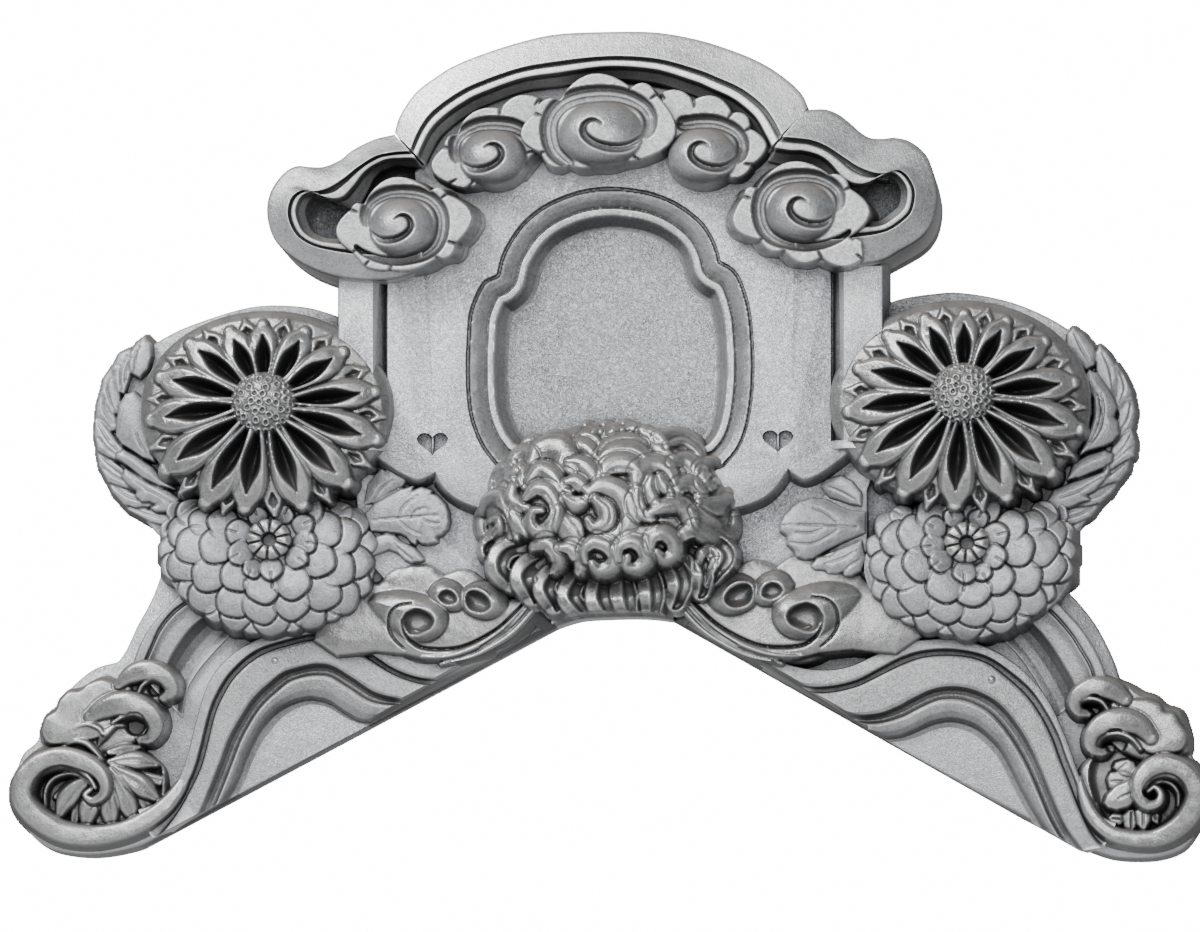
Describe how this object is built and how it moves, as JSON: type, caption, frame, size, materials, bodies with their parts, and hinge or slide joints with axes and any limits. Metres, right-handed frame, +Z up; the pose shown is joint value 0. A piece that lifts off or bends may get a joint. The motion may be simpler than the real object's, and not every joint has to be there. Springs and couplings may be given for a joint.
{
  "type": "roof end tile",
  "caption": "Japanese roof end tile of smoked clay: hooded head with snail clouds and sunk panel, big flowers, and two splayed legs astride a V notch.",
  "frame": {"origin": "on the flat back, on the rim just above the top of the V notch", "axes": "+X to the right seen from the front, the long way; +Z up; +Y out of the flat back, so the carved front faces -Y"},
  "size_m": [1.1958, 0.2107, 0.825],
  "materials": {
    "smoked_clay": "satin smoked-grey fired clay, burnished, with worn edges and dust"
  },
  "bodies": {
    "root": {"roof_end_tile": "smoked_clay"}
  },
  "joints": []
}
